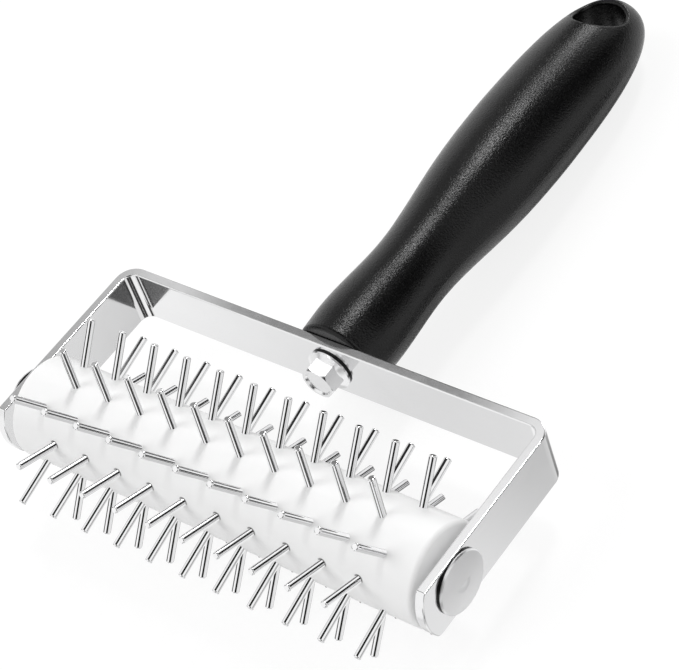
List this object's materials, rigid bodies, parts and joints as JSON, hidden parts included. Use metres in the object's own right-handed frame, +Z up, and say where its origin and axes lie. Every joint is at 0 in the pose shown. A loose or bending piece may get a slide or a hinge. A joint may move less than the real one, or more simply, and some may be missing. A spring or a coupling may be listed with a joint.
{
  "type": "dough docker",
  "caption": "Dough docker: a black handle bolted to a bent steel yoke that carries a white roller set with rows of steel pins, free to spin on its axle.",
  "frame": {"origin": "on the table under the middle of the tool's box, with the tool lying on its lowest pins and the end of its handle", "axes": "+X along the axle, +Y towards the end of the handle, +Z up from the table"},
  "size_m": [0.1384, 0.2068, 0.0518],
  "materials": {
    "polished_steel": "polished stainless steel",
    "satin_steel": "satin turned steel",
    "bolt_steel": "bright zinc plate",
    "pin_steel": "polished stainless steel wire",
    "insert_brass": "plain turned brass",
    "black_plastic": "fine grained black plastic with a soft sheen",
    "black_nylon": "thin black washers, smooth and a little glossy",
    "white_plastic": "smooth satin white plastic"
  },
  "bodies": {
    "frame": {"yoke": "polished_steel", "axle": "satin_steel", "axle_cap": "satin_steel", "axle_washer_right": "black_nylon", "axle_washer_left": "black_nylon", "handle_bolt": "bolt_steel", "bolt_washer": "black_nylon", "handle_insert": "insert_brass", "handle": "black_plastic"},
    "roller": {"roller_core": "white_plastic", "pins_row_01": "pin_steel", "pins_row_02": "pin_steel", "pins_row_03": "pin_steel", "pins_row_04": "pin_steel", "pins_row_05": "pin_steel", "pins_row_06": "pin_steel", "pins_row_07": "pin_steel", "pins_row_08": "pin_steel", "pins_row_09": "pin_steel", "pins_row_10": "pin_steel"}
  },
  "joints": [
    {"name": "roller_spin", "type": "hinge", "parent": "frame", "child": "roller", "pos_m": [0, -0.0775, 0.02589], "axis": [1, 0, 0], "continuous": true}
  ]
}
